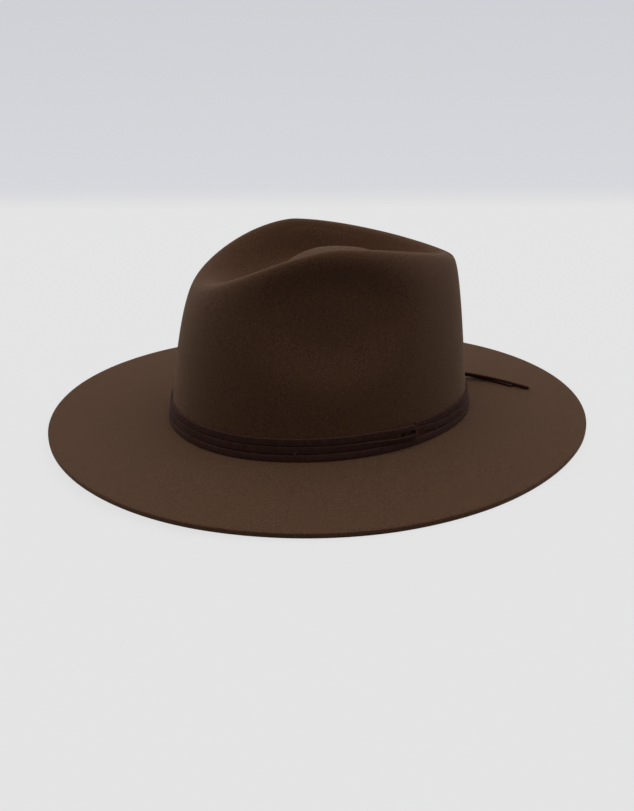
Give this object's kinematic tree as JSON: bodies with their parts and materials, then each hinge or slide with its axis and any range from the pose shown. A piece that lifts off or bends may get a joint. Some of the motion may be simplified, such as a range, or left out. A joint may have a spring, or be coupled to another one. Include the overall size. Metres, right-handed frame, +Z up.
{
  "type": "fedora hat",
  "caption": "Wide flat-brimmed wool felt fedora with a teardrop crown, pinched sides, a flat lace hat band with loose ends, a sweatband and a lining",
  "frame": {"origin": "middle of the head opening, on the plane that the brim rests on", "axes": "+Z up through the crown, -Y towards the front of the hat, +X towards the wearer's left side"},
  "size_m": [0.323, 0.359, 0.1199],
  "materials": {
    "wool_felt": "matt brown wool felt",
    "suede_lace": "matt dark brown suede",
    "sewing_thread": "dark brown polyester thread",
    "grosgrain_ribbon": "ribbed dark brown ribbon",
    "bow_ribbon": "dark brown satin ribbon",
    "label_ribbon": "blank off-white woven ribbon",
    "lining_satin": "brown satin"
  },
  "bodies": {
    "root": {"felt_body": "wool_felt", "band_lower_lace": "suede_lace", "band_doubled_lace": "suede_lace", "band_tack_stitches": "sewing_thread", "lace_tail_long": "suede_lace", "lace_tail_short": "suede_lace", "sweatband": "grosgrain_ribbon", "sweatband_thread": "sewing_thread", "sweatband_seam_tape": "grosgrain_ribbon", "sweatband_bow": "bow_ribbon", "size_label": "label_ribbon", "care_label": "label_ribbon", "lining_side": "lining_satin", "lining_tip": "lining_satin", "lining_piping": "lining_satin"}
  },
  "joints": []
}
